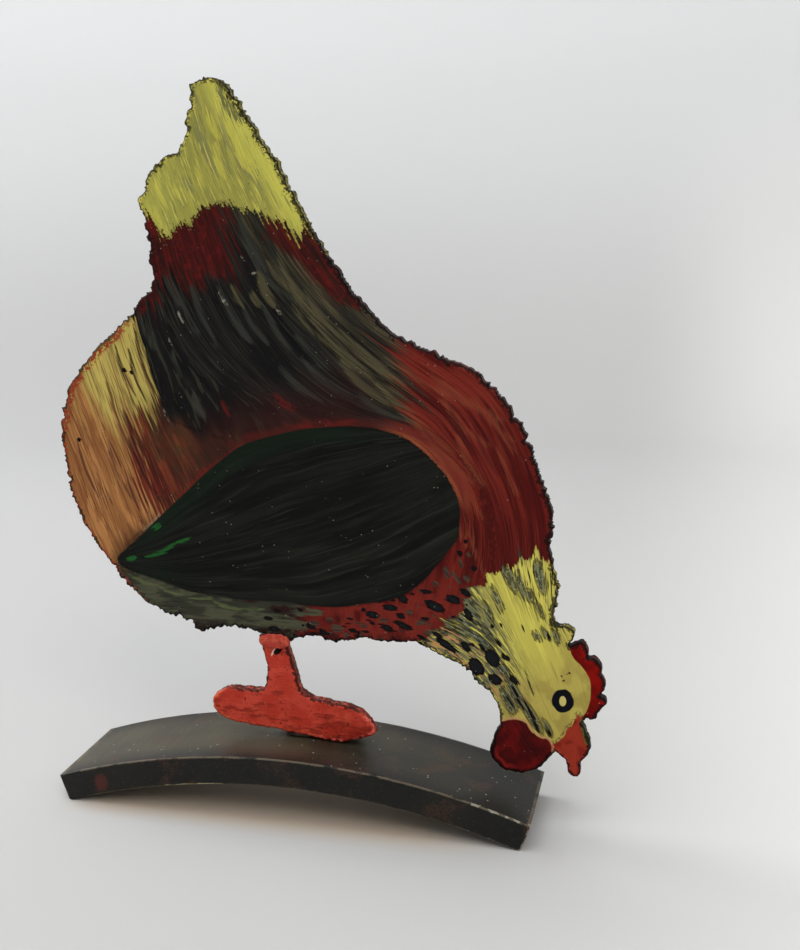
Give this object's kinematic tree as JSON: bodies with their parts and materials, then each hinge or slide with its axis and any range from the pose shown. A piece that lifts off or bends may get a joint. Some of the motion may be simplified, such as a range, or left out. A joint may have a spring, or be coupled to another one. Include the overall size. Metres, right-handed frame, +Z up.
{
  "type": "steel hen figure",
  "caption": "Flat pecking hen figure cut from painted steel plate, standing by its welded foot on an arched steel bar.",
  "frame": {"origin": "on the floor under the middle of the whole length, from rump to comb, at the middle of the bar's width", "axes": "+X towards the hen's head, -Y the painted front, +Z up"},
  "size_m": [0.2848, 0.06, 0.3684],
  "materials": {
    "feather_paint": "satin brushed oil paint",
    "leg_paint": "satin vermilion paint",
    "weld_paint": "painted weld metal",
    "foot_weld_steel": "sooty weld metal under black paint",
    "bar_paint": "worn satin black paint"
  },
  "bodies": {
    "root": {"hen_plate": "feather_paint", "leg_and_foot": "leg_paint", "leg_weld_front": "weld_paint", "leg_weld_rear": "weld_paint", "foot_weld_root": "foot_weld_steel", "foot_weld_rear": "foot_weld_steel", "arched_bar": "bar_paint"}
  },
  "joints": []
}
